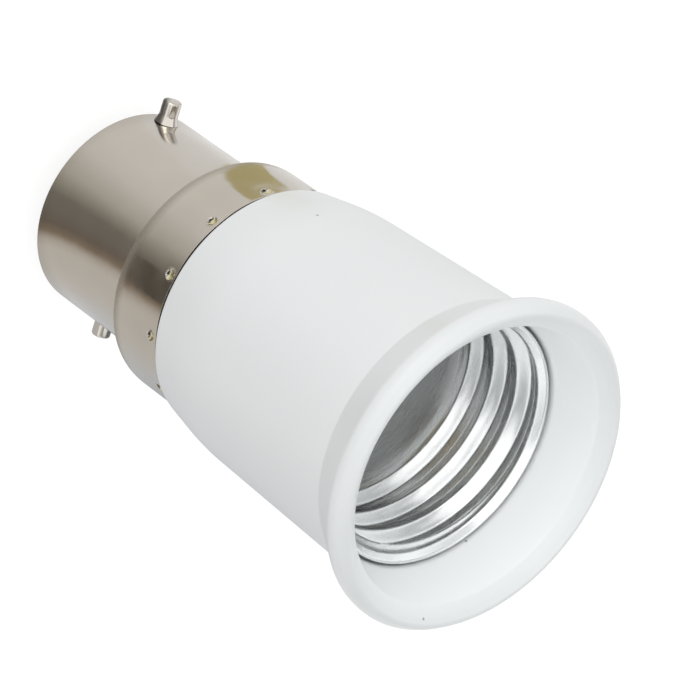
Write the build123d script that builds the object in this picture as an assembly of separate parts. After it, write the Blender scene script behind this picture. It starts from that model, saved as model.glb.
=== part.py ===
from build123d import *
import os
from math import radians, tan

# Lamp socket adapter: a B22 bayonet cap at the bottom, an E27 screw socket that opens upwards.
# Z is the common axis, Z = 0 is the plane of the two contact tips, and the pins lie along X.
# All sizes are in millimetres.

# Bayonet cap, drawn from plated sheet
CAP_SHEET = 0.3
CAP_R = 11.0
CAP_LENGTH = 16.0
CAP_END_BEVEL = 0.2
CAP_END_LIP = 1.8
STEP_BEVEL = 0.5
COLLAR_R = 13.05
COLLAR_LENGTH = 7.7

# Punch marks that stake the collar onto the body
STAKE_COUNT = 12
STAKE_WIDTH = 0.8
STAKE_DEPTH = 0.2
STAKE_SLOPE_DEG = 45.0
STAKE_FROM_EDGE = 0.85

# Bayonet pins
PIN_R = 1.0
PIN_SPAN = 26.9
PIN_ABOVE_END = 2.4
PIN_TIP_CHAMFER = 0.25
PIN_FOOT_R = 1.3
PIN_FOOT_LENGTH = 0.8
PIN_SPIGOT_R = 0.8
PIN_INSIDE = 0.7

# End insulator and its two contacts
INSULATOR_PROUD = 1.0
INSULATOR_BEVEL = 0.4
CONTACT_SPACING = 9.5
PLATE_R = 2.2
PLATE_SHEET = 0.4
STEM_R = 1.2
STEM_ABOVE = 0.5
BEAD_R = 1.8
BEAD_HEIGHT = 1.0

# White body, moulded in one piece
BODY_GAP = 0.25
BODY_PROUD = 0.45
BODY_EDGE_BEVEL = 0.4
BODY_SHOULDER_RISE = 6.3
BODY_SHOULDER_ROUND = 40.0
BODY_TAPER_DEG = 2.0
BODY_WALL = 0.95
SPIGOT_WALL = 1.4
PARTITION_RISE = 4.6
PARTITION = 2.4
FLARE_LENGTH = 8.1
FLARE_REACH = 2.6
FLARE_STEPS = 4
RIM_EDGE = 0.8
RIM_BEVEL = 0.45
LIP_BEVEL = 1.35
FUNNEL_DEPTH = 5.5
FUNNEL_SPREAD = 1.05

# Rolled screw shell
SHELL_SHEET = 0.3
THREAD_MINOR_R = 12.1
THREAD_DEPTH = 1.15
THREAD_PITCH = 3.63
THREAD_LAND = 0.6
THREAD_TURNS = 3
SHELL_NECK_R = 12.6
SHELL_LIP_R = 13.3
SHELL_LIP_LENGTH = 1.0
SHELL_PLAIN_R = 12.35
SHELL_PLAIN_LENGTH = 10.0
SHELL_FOOT_WIDTH = 2.0
SHELL_GAP = 0.25
TAB_WIDTH = 3.6

# Rivets through the partition
RIVET_R = 0.9
RIVET_HEAD_R = 1.5
RIVET_HEAD = 0.6
RIVET_TAIL = 0.5
TAB_RIVET_OUT = 9.0
LEAF_RIVET_OUT = 5.2

# Centre contact
LEAF_WIDTH = 4.0
LEAF_SHEET = 0.4
LEAF_FOOT_MARGIN = 1.8
LEAF_RISE = 2.2
LEAF_TOP_LENGTH = 3.8
STUD_R = 0.8
STUD_HEAD_R = 1.7
STUD_HEAD = 0.9
STUD_TAIL_R = 1.2
STUD_TAIL = 0.35

# Wires
WIRE_R = 0.8
WIRE_END_RUN = 5.0
WIRE_BEND_R = 5.0

# Clearance between pieces that are pushed together
FIT = 0.05

# Heights along the axis, from the contact tips up
plate_z = BEAD_HEIGHT
insulator_z = plate_z + PLATE_SHEET
cap_end_z = insulator_z + INSULATOR_PROUD
insulator_seat_z = cap_end_z + CAP_SHEET
pin_z = cap_end_z + PIN_ABOVE_END
insulator_top_z = pin_z - PIN_SPIGOT_R - FIT
step_z = cap_end_z + CAP_LENGTH
spigot_z = step_z + CAP_SHEET
collar_edge_z = step_z + COLLAR_LENGTH
stake_z = collar_edge_z - STAKE_FROM_EDGE
body_base_z = collar_edge_z + BODY_GAP
shoulder_z = body_base_z + BODY_SHOULDER_RISE
partition_z = body_base_z + PARTITION_RISE
floor_z = partition_z + PARTITION
thread_z = floor_z + SHELL_PLAIN_LENGTH
thread_top_z = thread_z + THREAD_TURNS * THREAD_PITCH
mouth_z = thread_top_z + SHELL_LIP_LENGTH
funnel_top_z = mouth_z + FUNNEL_DEPTH
rim_z = funnel_top_z + LIP_BEVEL
flare_end_z = rim_z - RIM_EDGE
flare_start_z = flare_end_z - FLARE_LENGTH

# Radii that follow from the pieces inside each other
cap_bore_r = CAP_R - CAP_SHEET
cap_opening_r = CAP_R - CAP_END_LIP
collar_bore_r = COLLAR_R - CAP_SHEET
spigot_r = collar_bore_r - FIT
cavity_r = spigot_r - SPIGOT_WALL
insulator_r = cap_bore_r - FIT
thread_major_r = THREAD_MINOR_R + THREAD_DEPTH
shell_outer_r = max(thread_major_r, SHELL_LIP_R) + SHELL_SHEET
socket_bore_r = shell_outer_r + SHELL_GAP
plain_bore_r = SHELL_PLAIN_R + SHELL_SHEET + FIT
funnel_top_r = socket_bore_r + FUNNEL_SPREAD
taper = tan(radians(BODY_TAPER_DEG))
contact_y = CONTACT_SPACING / 2


def body_radius(z):
    """Outside radius of the tapered body at height z, set by its wall around the thread."""
    return socket_bore_r + BODY_WALL + (z - thread_z) * taper


def flare_radius(z):
    """Outside radius of the flare, which leaves the taper smoothly and opens as the square of the height."""
    rise = z - flare_start_z
    bend = (FLARE_REACH - FLARE_LENGTH * taper) / FLARE_LENGTH**2
    return body_radius(z) + bend * rise**2


def turned(outline):
    """Solid of revolution about Z from a closed outline of (radius, height) corners."""
    with BuildPart() as solid:
        with BuildSketch(Plane.XZ):
            with BuildLine():
                Polyline(*outline, close=True)
            make_face()
        revolve(axis=Axis.Z)
    return solid.part


def rod(r, z0, z1, x=0.0, y=0.0):
    """Upright cylinder of radius r from z0 to z1."""
    return Pos(x, y, z0) * Cylinder(r, z1 - z0, align=(Align.CENTER, Align.CENTER, Align.MIN))


def side_rod(r, x0, x1, z):
    """Cylinder of radius r lying along X from x0 to x1 at height z."""
    return Pos(x0, 0, z) * Rot(0, 90, 0) * Cylinder(r, x1 - x0, align=(Align.CENTER, Align.CENTER, Align.MIN))


def outer_body():
    """White moulding: spigot, coned shoulder, slight taper, flared rim, funnel, socket bore, partition."""
    base_r = COLLAR_R + BODY_PROUD
    flare_start = (body_radius(flare_start_z), flare_start_z)
    rim_r = flare_radius(flare_end_z)
    sleeve = [
        (cavity_r, spigot_z),
        (spigot_r, spigot_z),
        (spigot_r, body_base_z),
        (base_r - BODY_EDGE_BEVEL, body_base_z),
        (base_r, body_base_z + BODY_EDGE_BEVEL),
        (body_radius(shoulder_z), shoulder_z),
        flare_start,
    ]
    sleeve_rounds = [0, 0, 0, 0, BODY_SHOULDER_ROUND]
    flare_heights = [flare_start_z + FLARE_LENGTH * i / FLARE_STEPS for i in range(1, FLARE_STEPS + 1)]
    flare_and_bore = [
        flare_start,
        *[(flare_radius(z), z) for z in flare_heights],
        (rim_r, rim_z - RIM_BEVEL),
        (rim_r - RIM_BEVEL, rim_z),
        (funnel_top_r + LIP_BEVEL, rim_z),
        (funnel_top_r, funnel_top_z),
        (socket_bore_r, mouth_z),
        (socket_bore_r, thread_z),
        (plain_bore_r, thread_z),
        (plain_bore_r, floor_z),
        (0, floor_z),
        (0, partition_z),
        (cavity_r, partition_z),
        (cavity_r, spigot_z),
    ]
    with BuildPart() as body:
        with BuildSketch(Plane.XZ):
            with BuildLine():
                FilletPolyline(*sleeve, radius=sleeve_rounds)
                Polyline(*flare_and_bore)
            make_face()
        revolve(axis=Axis.Z)
    solid = body.part
    for x, y in rivet_places():
        solid -= rod(RIVET_R + FIT, partition_z, floor_z, x, y)
    return solid


def rivet_places():
    """Axes of the leaf's rivet and of the two rivets in the shell's tabs."""
    return [(-LEAF_RIVET_OUT, 0), (0, -TAB_RIVET_OUT), (0, TAB_RIVET_OUT)]


def bayonet_cap():
    """Drawn shell: turned-in end, barrel, step and collar, with holes for the pins and punched stakes."""
    outline = [
        (cap_opening_r, cap_end_z),
        (CAP_R - CAP_END_BEVEL, cap_end_z),
        (CAP_R, cap_end_z + CAP_END_BEVEL),
        (CAP_R, step_z),
        (COLLAR_R - STEP_BEVEL, step_z),
        (COLLAR_R, step_z + STEP_BEVEL),
        (COLLAR_R, collar_edge_z),
        (collar_bore_r, collar_edge_z),
        (collar_bore_r, spigot_z),
        (cap_bore_r, spigot_z),
        (cap_bore_r, insulator_seat_z),
        (cap_opening_r, insulator_seat_z),
    ]
    cap = turned(outline)
    cap -= side_rod(PIN_SPIGOT_R + FIT, -COLLAR_R, COLLAR_R, pin_z)
    with BuildPart() as punch:
        with BuildSketch(Plane.YZ.offset(COLLAR_R)):
            Rectangle(STAKE_WIDTH, STAKE_WIDTH, rotation=45)
        extrude(amount=-STAKE_DEPTH, taper=STAKE_SLOPE_DEG)
    for i in range(STAKE_COUNT):
        cap -= Rot(0, 0, (i + 0.5) * 360 / STAKE_COUNT) * Pos(0, 0, stake_z) * punch.part
    return cap


def bayonet_pin():
    """Right-hand pin: chamfered tip, spread foot against the barrel, thinner spigot through its wall."""
    tip_x = PIN_SPAN / 2
    inner_x = cap_bore_r - PIN_INSIDE
    outline = [
        (0, inner_x),
        (PIN_SPIGOT_R, inner_x),
        (PIN_SPIGOT_R, CAP_R),
        (PIN_FOOT_R, CAP_R),
        (PIN_R, CAP_R + PIN_FOOT_LENGTH),
        (PIN_R, tip_x - PIN_TIP_CHAMFER),
        (PIN_R - PIN_TIP_CHAMFER, tip_x),
        (0, tip_x),
    ]
    return Pos(0, 0, pin_z) * Rot(0, 90, 0) * turned(outline)


def end_insulator():
    """Disc that closes the cap's end, held between the turned-in lip and the pins' spigots."""
    boss_r = cap_opening_r - FIT
    outline = [
        (0, insulator_z),
        (boss_r - INSULATOR_BEVEL, insulator_z),
        (boss_r, insulator_z + INSULATOR_BEVEL),
        (boss_r, insulator_seat_z),
        (insulator_r, insulator_seat_z),
        (insulator_r, insulator_top_z),
        (0, insulator_top_z),
    ]
    disc = turned(outline)
    for y in (-contact_y, contact_y):
        disc -= rod(STEM_R + FIT, insulator_z, insulator_top_z, 0, y)
    return disc


def contact_plate():
    """Contact: a flat face outside and a stem through the insulator that takes the wire."""
    outline = [
        (0, plate_z),
        (PLATE_R, plate_z),
        (PLATE_R, insulator_z),
        (STEM_R, insulator_z),
        (STEM_R, insulator_top_z + STEM_ABOVE),
        (0, insulator_top_z + STEM_ABOVE),
    ]
    return turned(outline)


def solder_bead():
    """Low bead on the contact face; its lowest face is the contact tip."""
    outline = [
        (0, 0),
        (BEAD_R / 2, 0),
        (BEAD_R, plate_z),
        (0, plate_z),
    ]
    return turned(outline)


def screw_shell():
    """Rolled shell of even sheet: turned-in foot with two tabs, plain wall, thread rolls, neck, flared lip."""
    land = THREAD_LAND / 2
    wall = [(SHELL_PLAIN_R, floor_z + SHELL_SHEET), (SHELL_PLAIN_R, thread_z - land)]
    for turn in range(THREAD_TURNS):
        crest_z = thread_z + land + turn * THREAD_PITCH
        root_z = crest_z + THREAD_PITCH / 2
        wall += [(THREAD_MINOR_R, crest_z - land), (THREAD_MINOR_R, crest_z + land)]
        wall += [(thread_major_r, root_z)]
    wall += [(SHELL_NECK_R, thread_top_z), (SHELL_LIP_R, mouth_z)]
    foot_r = SHELL_PLAIN_R - SHELL_FOOT_WIDTH
    inside = [(foot_r, floor_z + SHELL_SHEET)] + wall
    outside = [(r + SHELL_SHEET, z) for r, z in reversed(wall[1:])]
    outside += [(SHELL_PLAIN_R + SHELL_SHEET, floor_z), (foot_r, floor_z)]
    shell = turned(inside + outside)
    tab_length = SHELL_PLAIN_R - TAB_RIVET_OUT
    for side in (-1, 1):
        y = side * TAB_RIVET_OUT
        tab = Pos(0, y, floor_z) * Box(
            TAB_WIDTH, tab_length, SHELL_SHEET,
            align=(Align.CENTER, Align.MIN if side > 0 else Align.MAX, Align.MIN),
        )
        tab += rod(TAB_WIDTH / 2, floor_z, floor_z + SHELL_SHEET, 0, y)
        shell += tab
        shell -= rod(RIVET_R + FIT, floor_z, floor_z + SHELL_SHEET, 0, y)
    return shell


def rivet(x, y, seat_z):
    """Rivet through the partition: flat head on the clamped sheet, tail just below the partition."""
    outline = [
        (0, seat_z + RIVET_HEAD),
        (RIVET_HEAD_R, seat_z + RIVET_HEAD),
        (RIVET_HEAD_R, seat_z),
        (RIVET_R, seat_z),
        (RIVET_R, partition_z - RIVET_TAIL),
        (0, partition_z - RIVET_TAIL),
    ]
    return Pos(x, y, 0) * turned(outline)


def contact_leaf():
    """Brass strip: foot under the rivet, ramp up to a level end that carries the stud."""
    foot_x0 = -LEAF_RIVET_OUT - LEAF_FOOT_MARGIN
    foot_x1 = -LEAF_RIVET_OUT + LEAF_FOOT_MARGIN
    top_x0 = -LEAF_TOP_LENGTH / 2
    top_x1 = LEAF_TOP_LENGTH / 2
    low = [(foot_x0, 0), (foot_x1, 0), (top_x0, LEAF_RISE), (top_x1, LEAF_RISE)]
    high = [(x, z + LEAF_SHEET) for x, z in reversed(low)]
    with BuildPart() as leaf:
        with BuildSketch(Plane.XZ.offset(-LEAF_WIDTH / 2)):
            with BuildLine():
                Polyline(*[(x, floor_z + z) for x, z in low + high], close=True)
            make_face()
        extrude(amount=LEAF_WIDTH)
    strip = leaf.part
    strip -= rod(RIVET_R + FIT, floor_z, floor_z + LEAF_SHEET, -LEAF_RIVET_OUT, 0)
    strip -= rod(STUD_R + FIT, floor_z + LEAF_RISE, floor_z + LEAF_RISE + LEAF_SHEET)
    return strip


def contact_stud():
    """Stud on the leaf's free end: bevelled head above, peened tail below."""
    under_z = floor_z + LEAF_RISE
    over_z = under_z + LEAF_SHEET
    outline = [
        (0, under_z - STUD_TAIL),
        (STUD_TAIL_R, under_z - STUD_TAIL),
        (STUD_TAIL_R, under_z),
        (STUD_R, under_z),
        (STUD_R, over_z),
        (STUD_HEAD_R, over_z),
        (STUD_HEAD_R / 2, over_z + STUD_HEAD),
        (0, over_z + STUD_HEAD),
    ]
    return turned(outline)


def wire(top_x, top_y, contact_side):
    """Insulated wire from a rivet's tail down to the stem of a contact."""
    low_y = contact_side * contact_y
    top_z = partition_z - RIVET_TAIL
    low_z = insulator_top_z + STEM_ABOVE
    top = (top_x, top_y, top_z)
    low = (0, low_y, low_z)
    route = [top, (top_x, top_y, top_z - WIRE_END_RUN), (0, low_y, low_z + WIRE_END_RUN), low]
    with BuildPart() as insulation:
        with BuildLine() as path:
            FilletPolyline(*route, radius=WIRE_BEND_R)
        with BuildSketch(Plane(origin=top, z_dir=(0, 0, -1))):
            Circle(WIRE_R)
        sweep(path=path.line)
    return insulation.part


leaf_seat_z = floor_z + LEAF_SHEET
tab_seat_z = floor_z + SHELL_SHEET
(leaf_rivet, neutral_tab, plain_tab) = rivet_places()
right_pin = bayonet_pin()

nodes = {
    "outer_body": outer_body(),
    "bayonet_cap": bayonet_cap(),
    "left_bayonet_pin": Rot(0, 0, 180) * right_pin,
    "right_bayonet_pin": right_pin,
    "end_insulator": end_insulator(),
    "live_contact_plate": Pos(0, contact_y, 0) * contact_plate(),
    "neutral_contact_plate": Pos(0, -contact_y, 0) * contact_plate(),
    "live_solder_bead": Pos(0, contact_y, 0) * solder_bead(),
    "neutral_solder_bead": Pos(0, -contact_y, 0) * solder_bead(),
    "screw_shell": screw_shell(),
    "contact_leaf": contact_leaf(),
    "contact_stud": contact_stud(),
    "live_rivet": rivet(*leaf_rivet, leaf_seat_z),
    "neutral_rivet": rivet(*neutral_tab, tab_seat_z),
    "shell_rivet": rivet(*plain_tab, tab_seat_z),
    "live_wire": wire(*leaf_rivet, 1),
    "neutral_wire": wire(*neutral_tab, -1),
}

os.makedirs("parts", exist_ok=True)
for name, solid in nodes.items():
    export_step(solid, f"parts/{name}.step")
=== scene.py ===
from math import cos, pi, radians, sin

import bpy
import numpy as np
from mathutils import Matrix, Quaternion, Vector


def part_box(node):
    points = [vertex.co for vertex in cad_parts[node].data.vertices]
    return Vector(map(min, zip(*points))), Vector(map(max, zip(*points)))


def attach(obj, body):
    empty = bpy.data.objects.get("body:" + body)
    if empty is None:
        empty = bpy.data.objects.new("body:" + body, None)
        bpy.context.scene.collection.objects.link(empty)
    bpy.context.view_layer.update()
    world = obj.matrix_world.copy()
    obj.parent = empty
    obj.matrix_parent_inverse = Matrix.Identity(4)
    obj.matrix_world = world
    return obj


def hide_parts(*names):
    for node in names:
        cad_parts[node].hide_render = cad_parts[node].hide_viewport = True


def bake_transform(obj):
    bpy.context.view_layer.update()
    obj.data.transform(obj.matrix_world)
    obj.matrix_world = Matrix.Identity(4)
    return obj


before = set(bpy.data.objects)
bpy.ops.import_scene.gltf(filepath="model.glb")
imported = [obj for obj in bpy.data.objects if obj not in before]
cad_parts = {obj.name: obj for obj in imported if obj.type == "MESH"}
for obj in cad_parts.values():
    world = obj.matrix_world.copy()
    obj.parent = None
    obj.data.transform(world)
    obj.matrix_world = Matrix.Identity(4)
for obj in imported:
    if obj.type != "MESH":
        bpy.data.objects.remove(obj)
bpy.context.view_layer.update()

# Lengths are in millimetres and angles in degrees. Names that end in _M are in metres, as Blender is.
# Names that end in _EASE say how far a corner of an outline is eased, along each of its two sides.
MM = 0.001
MERGE = 0.002


def box_mm(node):
    """Lowest and highest corner of a solid of the frame, in millimetres."""
    low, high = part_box(node)
    return low / MM, high / MM


# Places read from the frame
cap_low, cap_high = box_mm("bayonet_cap")
body_low, body_high = box_mm("outer_body")
shell_low, shell_high = box_mm("screw_shell")
insulator_low, insulator_high = box_mm("end_insulator")
stud_low, stud_high = box_mm("contact_stud")
leaf_low, leaf_high = box_mm("contact_leaf")
pin_low, pin_high = box_mm("right_bayonet_pin")

# Facets round the turned pieces
BODY_FACETS = 192
CAP_FACETS = 720
SHELL_FACETS = 240
INSULATOR_FACETS = 128
DROP_FACETS = 72
SMALL_FACETS = 64

# Bayonet cap
CAP_SHEET = 0.3
CAP_R = 11.0
CAP_OPENING_R = 9.2
CAP_END_BEVEL = 0.2
CAP_END_EASE = 0.1
CAP_END_BEND_EASE = 0.15
STEP_Z = 18.4
STEP_EASE = 0.3
STEP_ROUND_IN = 0.75
STEP_ROUND_UP = 1.4
STEP_ROUND_POINTS = 9
STEP_SHADE_BAND = (1.8, 0.7)
COLLAR_EDGE_EASE = 0.02
COLLAR_ROWS = 12
collar_r = cap_high.x

# Punch marks round the collar
MARK_COUNT = 12
MARK_FROM_EDGE = 0.85
MARK_Z = cap_high.z - MARK_FROM_EDGE
MARK_R = 0.5
MARK_DEPTH = 0.24
MARK_DISH = 0.05
MARK_DISH_R = 1.5
MARK_BURR = 0.05
MARK_EDGE_GAP = 0.1
MARK_ROWS = 16
MARK_WALL_POWER = 0.7
SKIN = 0.05

# Places of the burr, the painted shade and the bared brass with its painted highlight of a mark, in shares of
# its radius
BURR_AT = 1.15
BURR_WIDTH = 0.18
MARK_SHADE_RISE = (-0.35, -0.6)
BARED_HIGHLIGHT_RISE = (0.0, 0.7)
BARED_HIGHLIGHT_LEAST = 0.3

# Bayonet pins, with the (y, z) side of the right one that is painted dark as shade
PIN_R = 1.0
PIN_FOOT_R = 1.3
PIN_FOOT_LENGTH = 0.8
PIN_FOOT_EASE = 0.03
PIN_NECK_EASE = 0.15
PIN_TIP_EASE = 0.28
PIN_SPIGOT_R = 0.8
PIN_SPIGOT_EASE = 0.1
PIN_SHADE_SIDE = (0.76, 0.65)
PIN_SHADE_FACING = (0.35, 0.75)
PIN_SHADE = 0.85
pin_z = (pin_low.z + pin_high.z) / 2

# White body, outside
SPIGOT_R = 12.7
SPIGOT_EASE = 0.2
SPIGOT_ROOT_EASE = 0.05
BODY_BASE_Z = 26.35
BODY_BASE_R = 13.5
BODY_BASE_EASE = 0.15
BODY_EDGE_BEVEL = 0.4
BODY_EDGE_EASE = 0.2
SHOULDER_Z = 32.65
SHOULDER_R = 14.55
SHOULDER_EASE = 2.3
FLARE_START_Z = 55.7
FLARE_START_R = 15.35
FLARE_EASE = 0.2
RIM_EDGE = 2.0
RIM_EASE = 0.35
rim_r = body_high.x
rim_z = body_high.z

# White body, from the bead on the rim down to the floor of the socket, and the cavity below it
BEAD_DROP = 1.0
BEAD_IN = 0.8
BEAD_INNER_R = 16.55
BEAD_OUTER_EASE = 0.45
BEAD_TOP_EASE = 0.22
BEAD_INNER_EASE = 0.15
LEDGE_R = 15.9
LEDGE_DROP = 0.45
LEDGE_EASE = 0.1
FUNNEL_TOP_R = 15.0
FUNNEL_TOP_DROP = 1.25
FUNNEL_TOP_EASE = 0.2
FUNNEL_DROP = 0.45
FUNNEL_FOOT_EASE = 0.16
BORE_R = 13.85
BORE_STEP_Z = 43.35
PLAIN_BORE_R = 12.7
FLOOR_Z = shell_low.z
PARTITION_Z = 30.95
PARTITION_EASE = 0.5
CAVITY_R = 11.3
mouth_z = shell_high.z

# Painted shade along the body's seam, and grey specks in its skin
SEAM_SHADE_HEIGHT = 0.5
SPECK_R = 0.09
SPECKS = [(-13.99, -4.14, 33.86), (16.03, -1.36, 61.77), (11.33, 8.13, 55.31)]

# Rolled screw shell
SHEET = 0.3
PLAIN_R = 12.35
FOOT_R = 10.35
FOOT_OUTER_EASE = 0.4
FOOT_INNER_EASE = 0.3
THREAD_MINOR_R = 12.1
THREAD_DEPTH = 1.15
THREAD_PITCH = 3.63
CREST_ANGLE = 64.0
CREST_Z = 43.8
THREAD_FLAT = 0.23
THREAD_RUN_IN = 0.35
THREAD_START_ANGLES = (-180.0, -90.0)
THREAD_LOW_Z = 39.5
THREAD_ROWS = 120
# Heights over which the shell goes from painted shade low in the socket to its bright thread
RECESS_SHADE_Z = (41.5, 43.5)
NECK_FADE_Z = (53.3, 54.3)
NECK_R = 12.7
LIP_Z = 54.6
LIP_R = 13.3
LIP_EASE = 0.08
TAB_WIDTH = 3.6
TAB_RIVET_Y = 9.0
TAB_ROOT_POINTS = 8
TAB_TIP_POINTS = 24

# Rivets
RIVET_R = 0.9
RIVET_TAIL_EASE = 0.12
RIVET_HEAD_R = 1.5
RIVET_HEAD = 0.6
RIVET_HEAD_EASE = 0.06
RIVET_DOME_EASE = 0.55

# Contact stud and leaf
STUD_R = 0.8
STUD_TAIL_R = 1.2
STUD_TAIL_EASE = 0.2
STUD_HEAD_R = 1.7
STUD_HEAD_EDGE = 0.3
STUD_SEAT_EASE = 0.05
STUD_EDGE_EASE = 0.1
STUD_DOME_EASE = 0.5
LEAF_SHEET = 0.4
LEAF_FOOT_END_X = -3.4
LEAF_TOP_START_X = -1.9
LEAF_BEND_EASE = 0.5
LEAF_EDGE_BEVEL = 0.06
LEAF_EDGE_ANGLE = 50.0

# End insulator with its raised ring
INSULATOR_FIT = 0.05
DISC_RING_WIDTH = 1.2
DISC_RING_RISE = 0.2
DISC_RING_FOOT_EASE = 0.1
DISC_RING_TOP_EASE = 0.06
BOSS_EASE = 0.4
DISC_SEAT_EASE = 0.5
DISC_EASE = 0.1

# Contacts and solder on the bayonet end
PLATE_SINK = 0.15
PLATE_FACE_EASE = 0.15
PLATE_BACK_EASE = 0.05
STEM_R = 1.2
STEM_EASE = 0.1
DROP_FACE = 0.45
DROP_WAIST = 0.9
DROP_FACE_EASE = 0.2
DROP_WAIST_EASE = 0.4
DROP_FOOT_EASE = 0.05
DROP_LOBES = 3
DROP_SQUEEZE = 0.05

# Floor, and the cards on it that only mirrors see
FLOOR_SIZE_M = 6.0
FLOOR_GLOW = 0.8
CARD_Z = 0.3
RING_CARD_INNER_R = 11.2
RING_CARD_OUTER_R = 75.0
RING_CARD_FACETS = 96
RING_SHADE_R = 14.0
RING_SHADE = 0.75

# Tones of the ring card by angle about the axis, mirrored by the nickel
RING_TONES = [
    (-180.0, "#F3F1EE"),
    (-152.0, "#F2EFEB"),
    (-136.0, "#E8E6E3"),
    (-125.0, "#D8D5CF"),
    (-115.0, "#C9C6BE"),
    (-107.0, "#ACA89F"),
    (-98.5, "#86827A"),
    (-88.0, "#827D76"),
    (-79.0, "#7C7269"),
    (-72.0, "#948676"),
    (-66.0, "#CFC9C0"),
    (-60.0, "#DEDAD4"),
    (-34.0, "#DEDCD8"),
    (-12.0, "#DADBDC"),
    (4.0, "#CFD2D6"),
    (24.0, "#B4B8BC"),
    (60.0, "#CCCCCC"),
    (120.0, "#F5F4F3"),
]

# Dark and yellowish cards on the floor, mirrored by the collar
SHADE_CORNERS = [(-3.6, -34.0), (-5.0, -42.5), (11.5, -40.5), (9.5, -32.8)]
OLIVE_CORNERS = [
    (-14.5, 15.0),
    (-24.5, 8.0),
    (-28.8, 6.4),
    (-31.8, 3.4),
    (-35.4, 0.4),
    (-39.0, 2.0),
    (-38.5, 6.0),
    (-33.5, 16.5),
    (-26.8, 23.4),
    (-23.8, 20.4),
    (-18.8, 19.8),
]

# Bright hung cards that only mirrors see: place and size in metres, and strength
FRONT_CARD_M = ((-0.22, -0.45, 0.62), 0.9, 1.35)
CEILING_CARD_M = ((0.0, 0.1, 1.0), 1.0, 1.4)

# Surroundings from straight down (0) over the horizon (0.5) to straight up (1)
SKY_STRENGTH = 1.42
SKY_TONES = [
    (0.0, "#979899"),
    (0.49, "#979899"),
    (0.5, "#454443"),
    (0.53, "#686766"),
    (0.55, "#F0F0EF"),
    (0.6, "#FFFFFF"),
    (0.75, "#DFE1E1"),
    (0.85, "#A6A8A9"),
    (0.93, "#909293"),
    (1.0, "#909293"),
]

# Softbox at the side
KEY_PLACE_M = (-0.68, -0.53, 0.27)
KEY_SIZE_M = 0.6
KEY_WATTS = 2.2

# Narrow light straight down the socket
SPOT_HEIGHT_M = 0.5
SPOT_CONE = 3.0
SPOT_BLEND = 0.3
SPOT_R = 10.0
SPOT_WATTS = 1.5

# Light that the bright thread throws back onto the funnel
BOUNCE_PLACE = (-1.2, 0.8, 50.0)
BOUNCE_R = 3.0
BOUNCE_WATTS = 0.0022

# Camera, found by fitting the outlines of the cap and the mouth
CAMERA_AIM = (-1.741, 0.825, 39.065)
CAMERA_DISTANCE = 445.438
CAMERA_AZIMUTH = -25.69
CAMERA_ELEVATION = 40.68
CAMERA_ROLL = 125.74
CAMERA_LENS = 231.43
SENSOR = 36.0


# Tools for outlines and meshes


def rounded(corners, steps=5):
    """Outline through (radius, height, ease) corners, each eased along both of its sides."""
    outline = []
    count = len(corners)
    for i, (r, z, ease) in enumerate(corners):
        here = Vector((r, z))
        if ease == 0:
            outline.append((r, z))
            continue
        before = Vector(corners[i - 1][:2])
        after = Vector(corners[(i + 1) % count][:2])
        start = here + (before - here).normalized() * ease
        end = here + (after - here).normalized() * ease
        for k in range(steps + 1):
            t = k / steps
            point = start * (1 - t) ** 2 + here * 2 * t * (1 - t) + end * t**2
            outline.append((point.x, point.y))
    return outline


def run(start, end, steps):
    """Corners with no ease along a straight stretch, both ends left out."""
    return [(*Vector(start).lerp(Vector(end), k / steps), 0) for k in range(1, steps)]


def draw_line(name, points):
    """Chain of vertices through points, drawn by extruding one vertex from place to place."""
    bpy.ops.object.select_all(action="DESELECT")
    bpy.ops.mesh.primitive_plane_add(size=MM)
    piece = bpy.context.object
    piece.name = name
    piece.data.name = name
    bpy.ops.object.mode_set(mode="EDIT")
    bpy.ops.mesh.select_all(action="SELECT")
    bpy.ops.mesh.merge(type="CENTER")
    bpy.ops.transform.translate(value=Vector(points[0]) * MM)
    here = Vector(points[0])
    for point in points[1:]:
        step = (Vector(point) - here) * MM
        bpy.ops.mesh.extrude_vertices_move(TRANSFORM_OT_translate={"value": step})
        here = Vector(point)
    bpy.ops.mesh.select_all(action="SELECT")
    return piece


def turn(name, outline, facets, centre=(0, 0, 0), axis="Z", closed=True):
    """Turned piece: an outline of (radius, height) points spun about an axis through centre."""
    if closed:
        outline = outline + outline[:1]
    centre = Vector(centre)
    if axis == "Z":
        points = [centre + Vector((r, 0, h)) for r, h in outline]
    else:
        points = [centre + Vector((h, 0, r)) for r, h in outline]
    piece = draw_line(name, points)
    direction = (0, 0, 1) if axis == "Z" else (1, 0, 0)
    bpy.ops.mesh.spin(steps=facets, angle=2 * pi, center=centre * MM, axis=direction)
    bpy.ops.mesh.select_all(action="SELECT")
    bpy.ops.mesh.remove_doubles(threshold=MERGE * MM)
    bpy.ops.mesh.normals_make_consistent(inside=False)
    bpy.ops.object.mode_set(mode="OBJECT")
    return piece


def points_of(piece):
    """Vertex places of a piece, in millimetres."""
    places = np.empty(len(piece.data.vertices) * 3)
    piece.data.vertices.foreach_get("co", places)
    return places.reshape(-1, 3) / MM


def move_points(piece, places):
    """Puts the vertices of a piece at places, in millimetres."""
    piece.data.vertices.foreach_set("co", (places * MM).ravel())
    piece.data.update()


def about_axis(places):
    """Radius and angle of places about the adapter's axis."""
    radius = np.hypot(places[:, 0], places[:, 1])
    return radius, np.degrees(np.arctan2(places[:, 1], places[:, 0]))


def push_out(piece, places, radius, change):
    """Moves the vertices of a piece away from the adapter's axis by change."""
    places[:, :2] *= ((radius + change) / radius)[:, None]
    move_points(piece, places)


def smooth_step(start, end, value):
    """0 on the start's side, 1 on the end's side, eased in between."""
    t = np.clip((value - start) / (end - start), 0, 1)
    return t * t * (3 - 2 * t)


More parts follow.
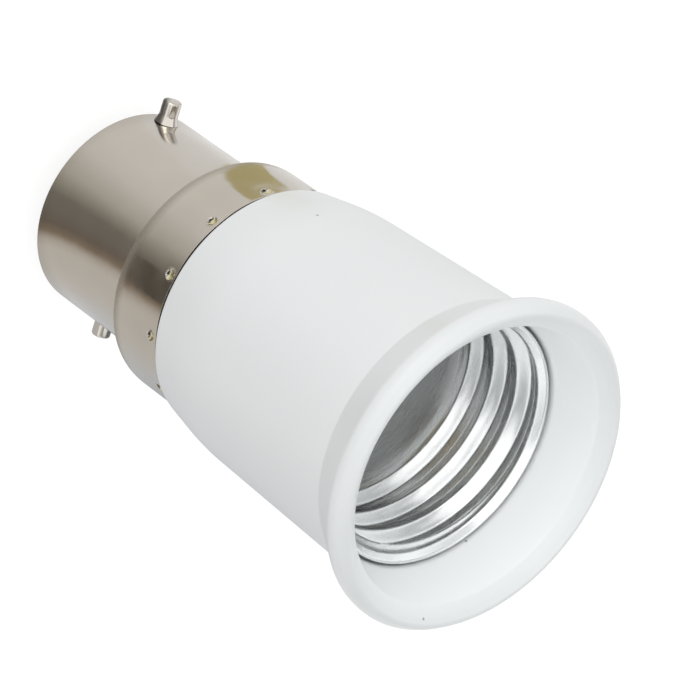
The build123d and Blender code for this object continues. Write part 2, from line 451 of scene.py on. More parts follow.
def paint_shade_and_wear(piece, painted_shade, bared_and_highlight, rough_and_shaded):
    """Stores painted shade, bared brass with painted highlight, and a rough dull band painted darker as
    shade, for each vertex, as red, green and blue.
    """
    shade_and_wear = np.zeros((len(piece.data.vertices), 4))
    shade_and_wear[:, 0] = painted_shade
    shade_and_wear[:, 1] = bared_and_highlight
    shade_and_wear[:, 2] = rough_and_shaded
    layer = piece.data.color_attributes.new("shade_and_wear", "FLOAT_COLOR", "POINT")
    layer.data.foreach_set("color", shade_and_wear.ravel())


def dress(piece, material, slot, *nodes, body="adapter", smooth=35):
    """Shades a finished piece, gives it its material and ties it to the frame."""
    bpy.ops.object.select_all(action="DESELECT")
    piece.select_set(True)
    bpy.context.view_layer.objects.active = piece
    bpy.ops.object.shade_smooth_by_angle(angle=radians(smooth))
    piece.data.materials.clear()
    piece.data.materials.append(material)
    if body:
        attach(piece, body)
    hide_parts(*nodes)
    return piece


# Materials


def linear(hex_colour):
    """Linear RGBA from an sRGB hex value."""
    channels = [int(hex_colour[i:i + 2], 16) / 255 for i in (1, 3, 5)]
    return [c / 12.92 if c <= 0.04045 else ((c + 0.055) / 1.055) ** 2.4 for c in channels] + [1.0]


def add_node(tree, kind, inputs=None, **settings):
    """Adds one node, makes its settings, and sets or links its inputs."""
    node = tree.nodes.new(kind)
    for key, value in settings.items():
        setattr(node, key, value)
    for key, value in (inputs or {}).items():
        if isinstance(value, bpy.types.NodeSocket):
            tree.links.new(value, node.inputs[key])
        else:
            node.inputs[key].default_value = value
    return node


def new_material(name):
    """Empty node material, its tree, and its Object coordinates."""
    material = bpy.data.materials.new(name)
    material.use_nodes = True
    tree = material.node_tree
    tree.nodes.clear()
    coordinates = add_node(tree, "ShaderNodeTexCoord").outputs["Object"]
    return material, tree, coordinates


def finish_material(tree, shader):
    """Joins a shader to the material's output."""
    add_node(tree, "ShaderNodeOutputMaterial", {"Surface": shader.outputs["BSDF"]})


def per_metre(size_mm):
    """Texture scale of a pattern whose features are about size_mm across."""
    return 1 / (size_mm * MM)


def white_plastic():
    """Moulded white polyester: bright, soft gloss, a faint skin ripple, a few specks and painted shade along
    the seam.
    """
    material, tree, where = new_material("moulded_white_plastic")
    tint = add_node(tree, "ShaderNodeTexNoise", {"Vector": where, "Scale": per_metre(9), "Detail": 3.0})
    colour = add_node(
        tree, "ShaderNodeMix",
        {"Factor": tint.outputs["Fac"], "A": linear("#EFF1F1"), "B": linear("#F2F3F3")},
        data_type="RGBA",
    )
    speck = 0.0
    for place in SPECKS:
        away = add_node(
            tree, "ShaderNodeVectorMath", {0: where, 1: Vector(place) * MM}, operation="DISTANCE"
        )
        dot = add_node(
            tree, "ShaderNodeMapRange",
            {
                "Value": away.outputs["Value"], "From Min": SPECK_R * MM, "From Max": 2 * SPECK_R * MM,
                "To Min": 0.6, "To Max": 0.0,
            },
        )
        speck = add_node(
            tree, "ShaderNodeMath", {0: dot.outputs["Result"], 1: speck}, operation="MAXIMUM"
        ).outputs["Value"]
    specked = add_node(
        tree, "ShaderNodeMix",
        {"Factor": speck, "A": colour.outputs["Result"], "B": linear("#4A4846")},
        data_type="RGBA",
    )
    # Painted shade: dark from the body's base to half a millimetre above it, standing in for the shadow in
    # the gap to the cap.
    height = add_node(tree, "ShaderNodeSeparateXYZ", {"Vector": where}).outputs["Z"]
    seam_shade = add_node(
        tree, "ShaderNodeMapRange",
        {
            "Value": height, "From Min": BODY_BASE_Z * MM, "From Max": (BODY_BASE_Z + SEAM_SHADE_HEIGHT) * MM,
            "To Min": 1.0, "To Max": 0.0,
        },
    )
    seam_shaded = add_node(
        tree, "ShaderNodeMix",
        {"Factor": seam_shade.outputs["Result"], "A": specked.outputs["Result"], "B": linear("#3B3733")},
        data_type="RGBA",
    )
    smear = add_node(tree, "ShaderNodeTexNoise", {"Vector": where, "Scale": per_metre(12), "Detail": 1.0})
    gloss = add_node(
        tree, "ShaderNodeMapRange",
        {"Value": smear.outputs["Fac"], "From Min": 0.0, "From Max": 1.0, "To Min": 0.32, "To Max": 0.36},
    )
    ripple = add_node(tree, "ShaderNodeTexNoise", {"Vector": where, "Scale": per_metre(6), "Detail": 0.0})
    bump = add_node(
        tree, "ShaderNodeBump", {"Height": ripple.outputs["Fac"], "Strength": 0.2, "Distance": 0.06 * MM}
    )
    shader = add_node(
        tree, "ShaderNodeBsdfPrincipled",
        {
            "Base Color": seam_shaded.outputs["Result"], "Roughness": gloss.outputs["Result"],
            "Normal": bump.outputs["Normal"], "IOR": 1.45,
        },
    )
    finish_material(tree, shader)
    return material


def nickel_plate():
    """Nickel on drawn brass sheet: warm grey mirror with slow waves and nicks, with the painted shade,
    painted highlight and bared brass that the vertex colours give.
    """
    material, tree, where = new_material("drawn_nickel_plate")
    cloud = add_node(tree, "ShaderNodeTexNoise", {"Vector": where, "Scale": per_metre(5), "Detail": 4.0})
    colour = add_node(
        tree, "ShaderNodeMix",
        {"Factor": cloud.outputs["Fac"], "A": linear("#C2BCB3"), "B": linear("#CBC6BF")},
        data_type="RGBA",
    )
    stretch = add_node(tree, "ShaderNodeMapping", {"Vector": where, "Scale": (1.0, 1.0, 0.3)})
    cells = add_node(
        tree, "ShaderNodeTexVoronoi",
        {"Vector": stretch.outputs["Vector"], "Scale": per_metre(3.2), "Randomness": 1.0},
    )
    chosen = add_node(tree, "ShaderNodeSeparateColor", {"Color": cells.outputs["Color"]})
    rare = add_node(tree, "ShaderNodeMath", {0: chosen.outputs["Red"], 1: 0.95}, operation="GREATER_THAN")
    nick = add_node(
        tree, "ShaderNodeMapRange",
        {
            "Value": cells.outputs["Distance"], "From Min": 0.03, "From Max": 0.07,
            "To Min": 0.6, "To Max": 0.0,
        },
    )
    nicked = add_node(
        tree, "ShaderNodeMath", {0: rare.outputs["Value"], 1: nick.outputs["Result"]}, operation="MULTIPLY"
    )
    scuffed = add_node(
        tree, "ShaderNodeMix",
        {"Factor": nicked.outputs["Value"], "A": colour.outputs["Result"], "B": linear("#6B655C")},
        data_type="RGBA",
    )
    shade_and_wear = add_node(tree, "ShaderNodeAttribute", attribute_name="shade_and_wear")
    shade_and_wear_channels = add_node(tree, "ShaderNodeSeparateColor", {"Color": shade_and_wear.outputs["Color"]})
    # Painted shade, near black, from the red channel.
    shaded_colour = add_node(
        tree, "ShaderNodeMix",
        {"Factor": shade_and_wear_channels.outputs["Red"], "A": scuffed.outputs["Result"], "B": linear("#2A2724")},
        data_type="RGBA",
    )
    # Pale bright brass from the green channel, partly bared metal and partly a painted highlight.
    bared_and_highlight = add_node(
        tree, "ShaderNodeMix",
        {"Factor": shade_and_wear_channels.outputs["Green"], "A": shaded_colour.outputs["Result"], "B": linear("#F2E58A")},
        data_type="RGBA",
    )
    # Rough band painted a darker grey as reflected shade, from the blue channel.
    rough_and_shaded = add_node(
        tree, "ShaderNodeMix",
        {"Factor": shade_and_wear_channels.outputs["Blue"], "A": bared_and_highlight.outputs["Result"], "B": linear("#AEA89E")},
        data_type="RGBA",
    )
    smudge = add_node(tree, "ShaderNodeTexNoise", {"Vector": where, "Scale": per_metre(2.6), "Detail": 5.0})
    gloss = add_node(
        tree, "ShaderNodeMapRange",
        {"Value": smudge.outputs["Fac"], "From Min": 0.35, "From Max": 0.7, "To Min": 0.1, "To Max": 0.18},
    )
    rough = add_node(
        tree, "ShaderNodeMath", {0: shade_and_wear_channels.outputs["Blue"], 1: shade_and_wear_channels.outputs["Green"]}, operation="MAXIMUM"
    )
    dulled = add_node(
        tree, "ShaderNodeMix", {"Factor": rough.outputs["Value"], "A": gloss.outputs["Result"], "B": 0.5}
    )
    waves = add_node(tree, "ShaderNodeTexNoise", {"Vector": where, "Scale": per_metre(4), "Detail": 2.5})
    bump = add_node(
        tree, "ShaderNodeBump", {"Height": waves.outputs["Fac"], "Strength": 0.3, "Distance": 0.12 * MM}
    )
    shader = add_node(
        tree, "ShaderNodeBsdfPrincipled",
        {
            "Base Color": rough_and_shaded.outputs["Result"], "Metallic": 1.0,
            "Roughness": dulled.outputs["Result"], "Normal": bump.outputs["Normal"],
        },
    )
    finish_material(tree, shader)
    return material


def rolled_aluminium():
    """Aluminium sheet with streaks round the axis: bright on the thread, with painted shade making the plain
    wall below it duller.
    """
    material, tree, where = new_material("rolled_aluminium_sheet")
    stretch = add_node(tree, "ShaderNodeMapping", {"Vector": where, "Scale": (0.12, 0.12, 1.0)})
    # The real streaks are finer, and these are as coarse as they need to be to show
    streaks = add_node(
        tree, "ShaderNodeTexNoise",
        {"Vector": stretch.outputs["Vector"], "Scale": per_metre(0.35), "Detail": 3.0},
    )
    bright = add_node(
        tree, "ShaderNodeMix",
        {"Factor": streaks.outputs["Fac"], "A": linear("#E4E6E6"), "B": linear("#F0F1F1")},
        data_type="RGBA",
    )
    height = add_node(tree, "ShaderNodeSeparateXYZ", {"Vector": where}).outputs["Z"]
    # Painted shade: the plain wall below the thread is darker, as deep in the socket it lies in shadow.
    out_of_shade = add_node(
        tree, "ShaderNodeMapRange",
        {"Value": height, "From Min": RECESS_SHADE_Z[0] * MM, "From Max": RECESS_SHADE_Z[1] * MM},
    )
    colour = add_node(
        tree, "ShaderNodeMix",
        {"Factor": out_of_shade.outputs["Result"], "A": linear("#ACAEAE"), "B": bright.outputs["Result"]},
        data_type="RGBA",
    )
    gloss = add_node(
        tree, "ShaderNodeMapRange",
        {"Value": streaks.outputs["Fac"], "From Min": 0.3, "From Max": 0.7, "To Min": 0.2, "To Max": 0.32},
    )
    bump = add_node(
        tree, "ShaderNodeBump", {"Height": streaks.outputs["Fac"], "Strength": 0.15, "Distance": 0.05 * MM}
    )
    shader = add_node(
        tree, "ShaderNodeBsdfPrincipled",
        {
            "Base Color": colour.outputs["Result"], "Metallic": 1.0,
            "Roughness": gloss.outputs["Result"], "Normal": bump.outputs["Normal"],
        },
    )
    finish_material(tree, shader)
    return material


def plain_finish(name, dark, light, grain_mm, roughness, metallic, bump_mm):
    """Finish with a mottled colour, uneven gloss and a fine grain, for the small pieces."""
    material, tree, where = new_material(name)
    mottle = add_node(
        tree, "ShaderNodeTexNoise", {"Vector": where, "Scale": per_metre(grain_mm), "Detail": 4.0}
    )
    colour = add_node(
        tree, "ShaderNodeMix",
        {"Factor": mottle.outputs["Fac"], "A": linear(dark), "B": linear(light)},
        data_type="RGBA",
    )
    gloss = add_node(
        tree, "ShaderNodeMapRange",
        {
            "Value": mottle.outputs["Fac"], "From Min": 0.3, "From Max": 0.7,
            "To Min": roughness * 0.75, "To Max": roughness * 1.25,
        },
    )
    bump = add_node(
        tree, "ShaderNodeBump", {"Height": mottle.outputs["Fac"], "Strength": 0.3, "Distance": bump_mm * MM}
    )
    shader = add_node(
        tree, "ShaderNodeBsdfPrincipled",
        {
            "Base Color": colour.outputs["Result"], "Metallic": metallic,
            "Roughness": gloss.outputs["Result"], "Normal": bump.outputs["Normal"],
        },
    )
    finish_material(tree, shader)
    return material


WHITE = white_plastic()
NICKEL = nickel_plate()
ALUMINIUM = rolled_aluminium()
# Bare pressed brass, dull and pale yellow
BRASS = plain_finish("pressed_brass", "#A48C5E", "#BCA577", 0.8, 0.3, 1.0, 0.03)
# Solder that froze in air: pale grey, satin, a little puckered
SOLDER = plain_finish("frozen_solder", "#A9ABAC", "#C6C8C8", 0.5, 0.32, 1.0, 0.06)
# Dark phenolic, pressed in a polished mould
PHENOLIC = plain_finish("pressed_phenolic", "#1B1817", "#2A2523", 0.6, 0.42, 0.0, 0.02)
# Vinyl wire insulation, brown for live and blue for neutral
LIVE_VINYL = plain_finish("brown_vinyl", "#4A2615", "#5A301C", 0.7, 0.45, 0.0, 0.02)
NEUTRAL_VINYL = plain_finish("blue_vinyl", "#123A7C", "#1B4C98", 0.7, 0.45, 0.0, 0.02)


# Pieces


def white_body():
    """One-piece moulding: spigot, coned shoulder, tapered sleeve, flared rim, funnel and socket bore."""
    corners = [
        (CAVITY_R, body_low.z, SPIGOT_EASE),
        (SPIGOT_R, body_low.z, SPIGOT_EASE),
        (SPIGOT_R, BODY_BASE_Z, SPIGOT_ROOT_EASE),
        (BODY_BASE_R - BODY_EDGE_BEVEL, BODY_BASE_Z, BODY_BASE_EASE),
        (BODY_BASE_R, BODY_BASE_Z + BODY_EDGE_BEVEL, BODY_EDGE_EASE),
        (SHOULDER_R, SHOULDER_Z, SHOULDER_EASE),
        (FLARE_START_R, FLARE_START_Z, FLARE_EASE),
        (rim_r, rim_z - RIM_EDGE, RIM_EASE),
        (rim_r, rim_z - BEAD_DROP, BEAD_OUTER_EASE),
        (rim_r - BEAD_IN, rim_z, BEAD_TOP_EASE),
        (BEAD_INNER_R, rim_z, BEAD_INNER_EASE),
        (LEDGE_R, rim_z - LEDGE_DROP, LEDGE_EASE),
        (FUNNEL_TOP_R, rim_z - FUNNEL_TOP_DROP, FUNNEL_TOP_EASE),
        (BORE_R, mouth_z - FUNNEL_DROP, FUNNEL_FOOT_EASE),
        (BORE_R, BORE_STEP_Z, 0),
        (PLAIN_BORE_R, BORE_STEP_Z, 0),
        (PLAIN_BORE_R, FLOOR_Z, 0),
        (0, FLOOR_Z, 0),
        (0, PARTITION_Z, 0),
        (CAVITY_R, PARTITION_Z, PARTITION_EASE),
    ]
    piece = turn("white_body", rounded(corners, 6), BODY_FACETS)
    return dress(piece, WHITE, "white_body", "outer_body")


def cap_outline():
    """Section of the drawn cap, with rows of points on the collar for the punch marks to dent."""
    end_z = cap_low.z
    edge_z = cap_high.z
    bore_r = CAP_R - CAP_SHEET
    collar_bore_r = collar_r - CAP_SHEET
    marks_from = (collar_r, MARK_Z - 2 * MARK_R)
    marks_to = (collar_r, edge_z - MARK_EDGE_GAP)
    return rounded([
        (CAP_OPENING_R, end_z, CAP_END_EASE),
        (CAP_R - CAP_END_BEVEL, end_z, CAP_END_EASE),
        (CAP_R, end_z + CAP_END_BEVEL, CAP_END_EASE),
        (CAP_R, STEP_Z, STEP_EASE),
        *[
            (collar_r - STEP_ROUND_IN * (1 - t) ** 2, STEP_Z + STEP_ROUND_UP * t**2, 0)
            for t in np.linspace(0, 1, STEP_ROUND_POINTS)
        ],
        *run((collar_r, STEP_Z + STEP_ROUND_UP), marks_from, COLLAR_ROWS),
        (*marks_from, 0),
        *run(marks_from, marks_to, MARK_ROWS),
        (collar_r, edge_z, COLLAR_EDGE_EASE),
        (collar_bore_r, edge_z, COLLAR_EDGE_EASE),
        (collar_bore_r, STEP_Z + CAP_SHEET, STEP_EASE),
        (bore_r, STEP_Z + CAP_SHEET, STEP_EASE),
        (bore_r, end_z + CAP_SHEET, CAP_END_BEND_EASE),
        (CAP_OPENING_R, end_z + CAP_SHEET, CAP_END_EASE),
    ])


def bayonet_cap():
    """Drawn nickel cap with a stepped collar, and the punched marks that hold it to the body."""
    piece = turn("bayonet_cap_shell", cap_outline(), CAP_FACETS)
    places = points_of(piece)
    radius, angle = about_axis(places)
    height = places[:, 2]
    pitch = 360 / MARK_COUNT
    across = np.radians(angle % pitch - pitch / 2) * collar_r
    reach = np.hypot(across, height - MARK_Z)
    away = reach / MARK_R
    outer = radius > collar_r - SKIN
    dent = -MARK_DEPTH * np.clip(1 - away**2, 0, 1) ** MARK_WALL_POWER
    burr = MARK_BURR * np.exp(-(((away - BURR_AT) / BURR_WIDTH) ** 2))
    dish = -MARK_DISH * np.exp(-((reach / MARK_DISH_R) ** 2))
    inside = np.where(outer & (away < 1), 1.0, 0.0)
    rise = (height - MARK_Z) / MARK_R
    # Painted shade: the lower side of each mark is darkened, where its hollow lies in shadow.
    painted_shade = smooth_step(*MARK_SHADE_RISE, rise)
    # Bared brass and painted highlight: brightest on the upper side of each mark, where the burr catches the
    # light.
    bared_and_highlight = BARED_HIGHLIGHT_LEAST + (1 - BARED_HIGHLIGHT_LEAST) * smooth_step(*BARED_HIGHLIGHT_RISE, rise)
    # A band above the step is made rough and painted a darker grey, standing in for reflected shade.
    band_shade_from, band_shade_to = STEP_SHADE_BAND
    on_step = (radius > CAP_R + CAP_SHEET) & (height > STEP_Z - SKIN)
    rough_and_shaded = np.where(on_step, smooth_step(STEP_Z + band_shade_from, STEP_Z + band_shade_to, height), 0)
    paint_shade_and_wear(piece, inside * painted_shade, inside * (1 - painted_shade) * bared_and_highlight, rough_and_shaded)
    push_out(piece, places, radius, np.where(outer, dent + burr + dish, 0))
    return dress(piece, NICKEL, "nickel_plate", "bayonet_cap")


def bayonet_pin(name, node, side):
    """Pin with a rounded tip and a spread foot, with painted shade along one flank."""
    tip = side * pin_high.x
    inner = side * pin_low.x
    wall = side * CAP_R
    corners = [
        (0, inner, 0),
        (PIN_SPIGOT_R, inner, PIN_SPIGOT_EASE),
        (PIN_SPIGOT_R, wall, 0),
        (PIN_FOOT_R, wall, PIN_FOOT_EASE),
        (PIN_R, wall + side * PIN_FOOT_LENGTH, PIN_NECK_EASE),
        (PIN_R, tip, PIN_TIP_EASE),
        (0, tip, 0),
    ]
    piece = turn(name, rounded(corners), SMALL_FACETS, centre=(0, 0, pin_z), axis="X", closed=False)
    places = points_of(piece)
    # Painted shade: one flank of each pin is darkened, standing in for a dark reflection.
    facing = side * (places[:, 1] * PIN_SHADE_SIDE[0] + (places[:, 2] - pin_z) * PIN_SHADE_SIDE[1]) / PIN_R
    paint_shade_and_wear(piece, PIN_SHADE * smooth_step(*PIN_SHADE_FACING, facing), 0, 0)
    return dress(piece, NICKEL, "nickel_plate", node)


def shell_radius(angle, z):
    """Inside radius of the shell: plain wall, right-hand thread that rises out of it, neck and flared lip."""
    crest = CREST_Z + THREAD_PITCH * (angle - CREST_ANGLE) / 360
    turns = (z - crest) / THREAD_PITCH
    to_root = 1 - abs(2 * (turns % 1) - 1)
    flank = np.clip((to_root - THREAD_FLAT) / (1 - 2 * THREAD_FLAT), 0, 1)
    thread = THREAD_MINOR_R + THREAD_DEPTH * (flank + smooth_step(0, 1, flank)) / 2
    run_in = THREAD_MINOR_R - PLAIN_R
    here = PLAIN_R + run_in * smooth_step(-THREAD_RUN_IN, 0, turns)
    next_turn = PLAIN_R + run_in * smooth_step(-THREAD_RUN_IN, 0, turns - 1)
    begun = smooth_step(*THREAD_START_ANGLES, angle)
    below = PLAIN_R + (here - PLAIN_R) * begun
    above = begun * thread + (1 - begun) * next_turn
    first_turn = np.where(turns < 0, below, above)
    wall = np.where(turns < 1, first_turn, thread)
    lip = NECK_R + (LIP_R - NECK_R) * np.clip((z - LIP_Z) / (mouth_z - LIP_Z), 0, 1)
    return wall + (lip - wall) * smooth_step(*NECK_FADE_Z, z)


def shell_tab(side):
    """Tab of the shell's foot that reaches in over a rivet, with a round end."""
    half = TAB_WIDTH / 2
    spread = np.arcsin(half / FOOT_R)
    root = [(FOOT_R * sin(a), FOOT_R * cos(a)) for a in np.linspace(spread, -spread, TAB_ROOT_POINTS)]
    tip = [(-half * cos(a), TAB_RIVET_Y - half * sin(a)) for a in np.linspace(0, pi, TAB_TIP_POINTS)]
    piece = draw_line("shell_tab", [(side * x, side * y, FLOOR_Z) for x, y in root + tip])
    bpy.ops.mesh.edge_face_add()
    bpy.ops.mesh.extrude_region_move(TRANSFORM_OT_translate={"value": (0, 0, SHEET * MM)})
    bpy.ops.mesh.select_all(action="SELECT")
    bpy.ops.mesh.normals_make_consistent(inside=False)
    bpy.ops.object.mode_set(mode="OBJECT")
    return piece


def screw_shell():
    """Thin rolled shell with a true right-hand thread, a turned-in foot and two riveted tabs."""
    outer_r = PLAIN_R + SHEET
    corners = [
        (FOOT_R, FLOOR_Z, 0),
        (outer_r, FLOOR_Z, FOOT_OUTER_EASE),
        (outer_r, THREAD_LOW_Z, 0),
        *run((outer_r, THREAD_LOW_Z), (outer_r, mouth_z), THREAD_ROWS),
        (outer_r, mouth_z, LIP_EASE),
        (PLAIN_R, mouth_z, LIP_EASE),
        *run((PLAIN_R, mouth_z), (PLAIN_R, THREAD_LOW_Z), THREAD_ROWS),
        (PLAIN_R, THREAD_LOW_Z, 0),
        (PLAIN_R, FLOOR_Z + SHEET, FOOT_INNER_EASE),
        (FOOT_R, FLOOR_Z + SHEET, 0),
    ]
    piece = turn("rolled_screw_shell", rounded(corners), SHELL_FACETS)
    places = points_of(piece)
    radius, angle = about_axis(places)
    height = places[:, 2]
    change = np.where(height >= THREAD_LOW_Z, shell_radius(angle, height) - PLAIN_R, 0)
    push_out(piece, places, radius, change)
    tabs = [shell_tab(-1), shell_tab(1)]
    bpy.ops.object.select_all(action="DESELECT")
    for part in (*tabs, piece):
        part.select_set(True)
    bpy.context.view_layer.objects.active = piece
    bpy.ops.object.join()
    return dress(piece, ALUMINIUM, "shell_metal", "screw_shell", smooth=50)


def rivet(name, node):
    """Rivet with a domed head above the sheet it clamps and a tail below the partition."""
    low, high = box_mm(node)
    middle = (low + high) / 2
    seat = high.z - RIVET_HEAD
    corners = [
        (0, low.z, 0),
        (RIVET_R, low.z, RIVET_TAIL_EASE),
        (RIVET_R, seat, 0),
        (RIVET_HEAD_R, seat, RIVET_HEAD_EASE),
        (RIVET_HEAD_R, high.z, RIVET_DOME_EASE),
        (0, high.z, 0),
    ]
    piece = turn(name, rounded(corners), SMALL_FACETS, centre=(middle.x, middle.y, 0), closed=False)
    return dress(piece, BRASS, "brass", node)


def contact_stud():
    """Stud on the end of the leaf, with a domed head that meets the lamp's centre contact."""
    leaf_top = leaf_high.z
    corners = [
        (0, stud_low.z, 0),
        (STUD_TAIL_R, stud_low.z, STUD_TAIL_EASE),
        (STUD_TAIL_R, leaf_top - LEAF_SHEET, STUD_SEAT_EASE),
        (STUD_R, leaf_top - LEAF_SHEET, 0),
        (STUD_R, leaf_top, 0),
        (STUD_HEAD_R, leaf_top, STUD_SEAT_EASE),
        (STUD_HEAD_R, leaf_top + STUD_HEAD_EDGE, STUD_EDGE_EASE),
        (STUD_HEAD_R / 2, stud_high.z, STUD_DOME_EASE),
        (0, stud_high.z, 0),
    ]
    piece = turn("contact_stud_head", rounded(corners, 8), SMALL_FACETS, closed=False)
    return dress(piece, BRASS, "brass", "contact_stud", body="centre_contact")


def contact_leaf():
    """Pressed brass strip with eased bends: foot under its rivet, ramp, level end under the stud."""
    half_width = leaf_high.y
    foot_z = leaf_low.z + LEAF_SHEET / 2
    top_z = leaf_high.z - LEAF_SHEET / 2
    corners = [
        (leaf_low.x, foot_z, 0),
        (LEAF_FOOT_END_X, foot_z, LEAF_BEND_EASE),
        (LEAF_TOP_START_X, top_z, LEAF_BEND_EASE),
        (leaf_high.x, top_z, 0),
    ]
    path = [(x, -half_width, z) for x, z in rounded(corners, 8)]
    piece = draw_line("spring_contact_leaf", path)
    bpy.ops.mesh.extrude_edges_move(TRANSFORM_OT_translate={"value": (0, 2 * half_width * MM, 0)})
    bpy.ops.object.mode_set(mode="OBJECT")
    sheet = piece.modifiers.new("sheet", "SOLIDIFY")
    sheet.thickness = LEAF_SHEET * MM
    sheet.offset = 0
    edges = piece.modifiers.new("edges", "BEVEL")
    edges.width = LEAF_EDGE_BEVEL * MM
    edges.segments = 2
    edges.limit_method = "ANGLE"
    edges.angle_limit = radians(LEAF_EDGE_ANGLE)
    for modifier in ("sheet", "edges"):
        bpy.ops.object.modifier_apply(modifier=modifier)
    dress(piece, BRASS, "brass", "contact_leaf", body=None)
    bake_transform(piece)
    return piece


def end_insulator():
    """Moulded disc that closes the bayonet end, with a raised ring near its edge."""
    boss_r = CAP_OPENING_R - INSULATOR_FIT
    ring_r = boss_r - DISC_RING_WIDTH
    face_z = insulator_low.z
    seat_z = cap_low.z + CAP_SHEET
    corners = [
        (0, face_z + DISC_RING_RISE, 0),
        (ring_r, face_z + DISC_RING_RISE, DISC_RING_FOOT_EASE),
        (ring_r + DISC_RING_RISE, face_z, DISC_RING_TOP_EASE),
        (boss_r, face_z, BOSS_EASE),
        (boss_r, seat_z, 0),
        (insulator_high.x, seat_z, DISC_SEAT_EASE),
        (insulator_high.x, insulator_high.z, DISC_EASE),
        (0, insulator_high.z, 0),
    ]
    piece = turn("end_insulator_disc", rounded(corners), INSULATOR_FACETS, closed=False)
    return dress(piece, PHENOLIC, "insulator", "end_insulator")


def contact_plate(name, node):
    """Round contact on the bayonet end, its stem passing through the insulator."""
    low, high = box_mm(node)
    middle = (low + high) / 2
    plate_r = (high.x - low.x) / 2
    back_z = insulator_low.z + PLATE_SINK
    corners = [
        (0, low.z, 0),
        (plate_r, low.z, PLATE_FACE_EASE),
        (plate_r, back_z, PLATE_BACK_EASE),
        (STEM_R, back_z, 0),
        (STEM_R, high.z, STEM_EASE),
        (0, high.z, 0),
    ]
    piece = turn(name, rounded(corners), SMALL_FACETS, centre=(middle.x, middle.y, 0), closed=False)
    return dress(piece, BRASS, "brass", node)


def solder_bead(name, node):
    """Frozen drop of solder on a contact, a little out of round, flat where it touches down."""
    low, high = box_mm(node)
    middle = (low + high) / 2
    bead_r = (high.x - low.x) / 2
    corners = [
        (0, low.z, 0),
        (bead_r * DROP_FACE, low.z, DROP_FACE_EASE),
        (bead_r * DROP_WAIST, middle.z, DROP_WAIST_EASE),
        (bead_r, high.z, DROP_FOOT_EASE),
        (0, high.z, 0),
    ]
    piece = turn(name, rounded(corners, 8), DROP_FACETS, centre=(middle.x, middle.y, 0), closed=False)
    places = points_of(piece)
    offset = places[:, :2] - np.array(middle[:2])
    angle = np.arctan2(offset[:, 1], offset[:, 0])
    squeeze = 1 - DROP_SQUEEZE * (1 + np.sin(DROP_LOBES * angle + middle.y)) / 2
    places[:, :2] = np.array(middle[:2]) + offset * squeeze[:, None]
    move_points(piece, places)
    return dress(piece, SOLDER, "solder", node)


white_body()
bayonet_cap()
bayonet_pin("left_pin", "left_bayonet_pin", -1)
bayonet_pin("right_pin", "right_bayonet_pin", 1)
screw_shell()
for rivet_name in ("live_rivet", "neutral_rivet", "shell_rivet"):
    rivet(rivet_name + "_head", rivet_name)
contact_stud()
contact_leaf()
end_insulator()
for pole in ("live", "neutral"):
    contact_plate(pole + "_plate", pole + "_contact_plate")
    solder_bead(pole + "_bead", pole + "_solder_bead")
for node_name, vinyl in (("live_wire", LIVE_VINYL), ("neutral_wire", NEUTRAL_VINYL)):
    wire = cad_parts[node_name]
    wire.data.materials.clear()
    wire.data.materials.append(vinyl)


# Floor, cards, light and camera


def tone_ramp(tree, factor, tones):
    """Colour ramp with a stop for each (position, colour) of tones."""
    ramp = add_node(tree, "ShaderNodeValToRGB", {"Fac": factor})
    stops = ramp.color_ramp.elements
    while len(stops) < len(tones):
        stops.new(1.0)
    for stop, (position, colour) in zip(stops, tones):
        stop.position = position
        stop.color = linear(colour)
    return ramp.outputs["Color"]


def finish_glow(tree, colour, strength):
    """Makes a material glow with a colour and a strength, each a value or a socket."""
    glow = add_node(tree, "ShaderNodeEmission", {"Color": colour, "Strength": strength})
    add_node(tree, "ShaderNodeOutputMaterial", {"Surface": glow.outputs["Emission"]})


def mirror_only(piece, material):
    """Makes a piece a studio card that only mirrors see."""
    piece.data.materials.append(material)
    piece.visible_camera = False
    piece.visible_diffuse = False
    piece.visible_shadow = False
    return piece


def flat_card(name, corners, colour):
    """Evenly lit card on the floor."""
    piece = draw_line(name, [(x, y, CARD_Z) for x, y in corners])
    bpy.ops.mesh.edge_face_add()
    bpy.ops.object.mode_set(mode="OBJECT")
    material, tree, _ = new_material(name)
    finish_glow(tree, linear(colour), 1.0)
    return mirror_only(piece, material)


def ring_card():
    """Ring on the floor round the cap, shaded by the angle about the axis and darker close to the cap."""
    outline = [(RING_CARD_INNER_R, CARD_Z / 2), (RING_CARD_OUTER_R, CARD_Z / 2)]
    piece = turn("ring_card", outline, RING_CARD_FACETS, closed=False)
    material, tree, where = new_material("ring_card")
    around = add_node(tree, "ShaderNodeTexGradient", {"Vector": where}, gradient_type="RADIAL")
    tones = [(angle / 360 + 0.5, colour) for angle, colour in RING_TONES]
    shade = tone_ramp(tree, around.outputs["Fac"], tones)
    out = add_node(tree, "ShaderNodeVectorMath", {0: where}, operation="LENGTH")
    fall = add_node(
        tree, "ShaderNodeMapRange",
        {
            "Value": out.outputs["Value"],
            "From Min": RING_CARD_INNER_R * MM, "From Max": RING_SHADE_R * MM,
            "To Min": RING_SHADE, "To Max": 1.0,
        },
    )
    finish_glow(tree, shade, fall.outputs["Result"])
    return mirror_only(piece, material)


def hung_card(name, place, size, strength):
    """Square bright card that hangs in the studio and faces the adapter."""
    bpy.ops.object.select_all(action="DESELECT")
    bpy.ops.mesh.primitive_plane_add(size=size)
    piece = bpy.context.object
    piece.name = name
    piece.location = Vector(place)
    piece.rotation_mode = "QUATERNION"
    piece.rotation_quaternion = piece.location.to_track_quat("Z", "Y")
    material, tree, _ = new_material(name)
    finish_glow(tree, linear("#FFFFFF"), strength)
    return mirror_only(piece, material)


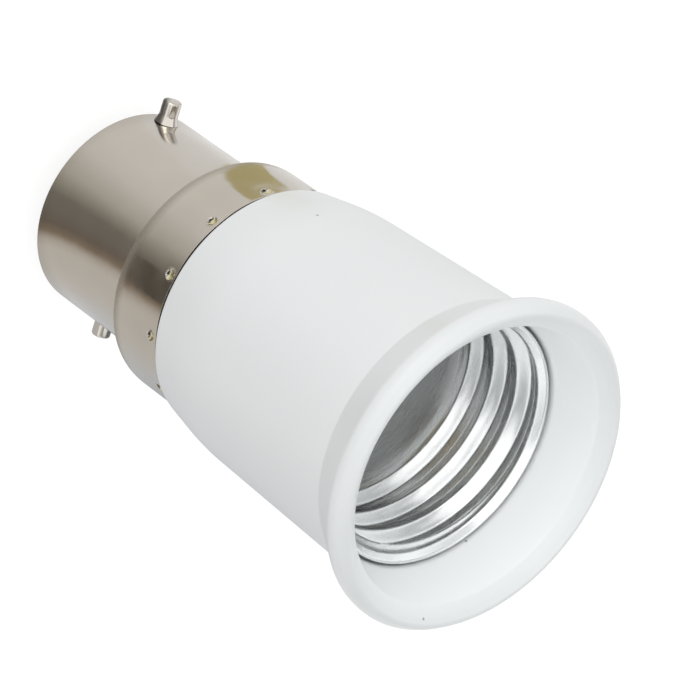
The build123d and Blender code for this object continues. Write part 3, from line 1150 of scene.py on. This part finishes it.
def pale_floor():
    """Pale, glowing floor that only the camera and mirrors see."""
    bpy.ops.object.select_all(action="DESELECT")
    bpy.ops.mesh.primitive_plane_add(size=FLOOR_SIZE_M)
    floor = bpy.context.object
    floor.name = "floor"
    material, tree, _ = new_material("pale_floor")
    shader = add_node(
        tree, "ShaderNodeBsdfPrincipled",
        {
            "Base Color": linear("#9C9C9C"), "Roughness": 0.9,
            "Emission Color": linear("#FFFFFF"), "Emission Strength": FLOOR_GLOW,
        },
    )
    finish_material(tree, shader)
    floor.data.materials.append(material)
    floor.visible_diffuse = False


def white_room():
    """Surroundings that are brightest a little above the horizon and grey overhead."""
    world = bpy.data.worlds.new("white_room")
    world.use_nodes = True
    tree = world.node_tree
    tree.nodes.clear()
    direction = add_node(tree, "ShaderNodeTexCoord").outputs["Generated"]
    height = add_node(tree, "ShaderNodeSeparateXYZ", {"Vector": direction}).outputs["Z"]
    rise = add_node(tree, "ShaderNodeMapRange", {"Value": height, "From Min": -1.0, "From Max": 1.0})
    shade = tone_ramp(tree, rise.outputs["Result"], SKY_TONES)
    sky = add_node(tree, "ShaderNodeBackground", {"Color": shade, "Strength": SKY_STRENGTH})
    add_node(tree, "ShaderNodeOutputWorld", {"Surface": sky.outputs["Background"]})
    bpy.context.scene.world = world


def add_light(name, kind, place, watts):
    """Adds one light at a place in metres."""
    bpy.ops.object.light_add(type=kind, location=place)
    light = bpy.context.object
    light.name = name
    light.data.energy = watts
    return light


def lights():
    """Softbox at the side, narrow spot down the socket, and a light for what the thread throws back."""
    softbox = add_light("key_softbox", "AREA", KEY_PLACE_M, KEY_WATTS)
    softbox.data.shape = "SQUARE"
    softbox.data.size = KEY_SIZE_M
    softbox.rotation_mode = "QUATERNION"
    softbox.rotation_quaternion = softbox.location.to_track_quat("Z", "Y")

    spot = add_light("socket_spot", "SPOT", (0, 0, SPOT_HEIGHT_M), SPOT_WATTS)
    spot.data.spot_size = radians(SPOT_CONE)
    spot.data.spot_blend = SPOT_BLEND
    spot.data.shadow_soft_size = SPOT_R * MM

    bounce = add_light("thread_bounce", "POINT", Vector(BOUNCE_PLACE) * MM, BOUNCE_WATTS)
    bounce.data.shadow_soft_size = BOUNCE_R * MM
    bounce.visible_camera = False
    bounce.visible_glossy = False


def camera():
    """Camera at the photograph's viewing angle, rolled about its own axis as the photograph is."""
    azimuth = radians(CAMERA_AZIMUTH)
    elevation = radians(CAMERA_ELEVATION)
    back = Vector((
        sin(azimuth) * cos(elevation),
        -cos(azimuth) * cos(elevation),
        sin(elevation),
    ))
    bpy.ops.object.camera_add()
    eye = bpy.context.object
    eye.location = (Vector(CAMERA_AIM) + back * CAMERA_DISTANCE) * MM
    eye.rotation_mode = "QUATERNION"
    roll = Quaternion((0, 0, 1), radians(CAMERA_ROLL))
    eye.rotation_quaternion = (-back).to_track_quat("-Z", "Y") @ roll
    eye.data.lens = CAMERA_LENS
    eye.data.sensor_width = SENSOR
    bpy.context.scene.camera = eye


pale_floor()
white_room()
lights()
bpy.context.scene.view_settings.view_transform = "Standard"
ring_card()
hung_card("front_card", *FRONT_CARD_M)
hung_card("ceiling_card", *CEILING_CARD_M)
flat_card("shade_card", SHADE_CORNERS, "#605A52")
flat_card("olive_card", OLIVE_CORNERS, "#C8BF8F")
camera()
